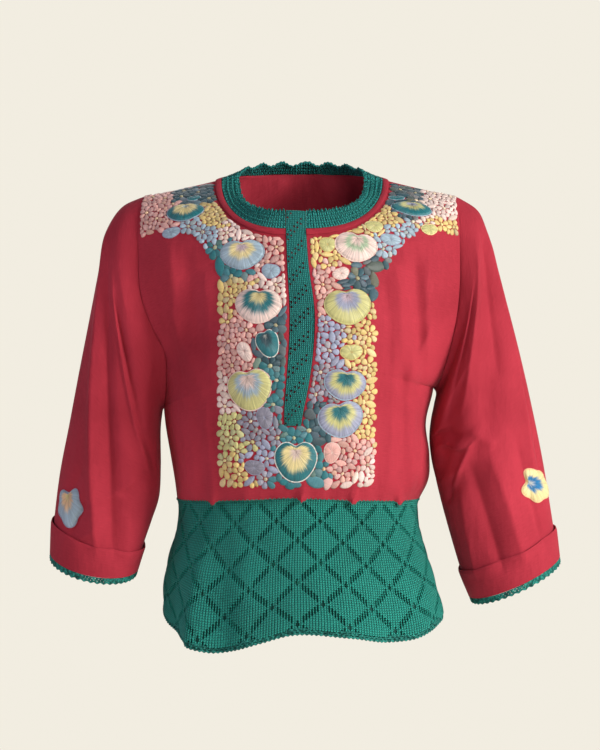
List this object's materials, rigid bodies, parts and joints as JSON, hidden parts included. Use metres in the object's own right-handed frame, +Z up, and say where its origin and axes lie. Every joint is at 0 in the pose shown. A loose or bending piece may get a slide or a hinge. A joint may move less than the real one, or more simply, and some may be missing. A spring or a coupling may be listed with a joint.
{
  "type": "embroidered blouse",
  "caption": "Short three-quarter-sleeve cotton blouse with an embroidered front, a crochet neckband and placket, and an openwork knitted peplum, hollow and shaped as worn.",
  "frame": {"origin": "midway between the two points where the shoulder seams meet the neck, where the wearer's shoulders hold the blouse up", "axes": "+X runs to the wearer's left, the front faces -Y, and +Z is up"},
  "size_m": [0.6312, 0.2425, 0.6045],
  "materials": {
    "red_cotton": "matte plain weave",
    "green_knit": "matte knit with eyelets",
    "green_crochet": "matte crochet",
    "satin_thread": "satin stitch in several colours"
  },
  "bodies": {
    "root": {"front": "red_cotton", "back": "red_cotton", "sleeve_right": "red_cotton", "sleeve_left": "red_cotton", "cuff_right": "red_cotton", "cuff_left": "red_cotton", "cuff_edging_right": "green_crochet", "cuff_edging_left": "green_crochet", "neckband": "green_crochet", "neck_binding": "red_cotton", "placket": "green_crochet", "peplum_front": "green_knit", "peplum_back": "green_knit", "hem_edging_front": "green_crochet", "hem_edging_back": "green_crochet", "flower_shoulder_right": "satin_thread", "flower_band_right_top": "satin_thread", "flower_band_right_upper": "satin_thread", "flower_band_right_small": "satin_thread", "flower_band_right_low": "satin_thread", "flower_foot": "satin_thread", "flower_band_left_top": "satin_thread", "flower_band_left_upper": "satin_thread", "flower_band_left_low": "satin_thread", "flower_band_left_foot": "satin_thread", "flower_shoulder_left": "satin_thread", "flower_sleeve_right": "satin_thread", "flower_sleeve_left": "satin_thread"}
  },
  "joints": []
}
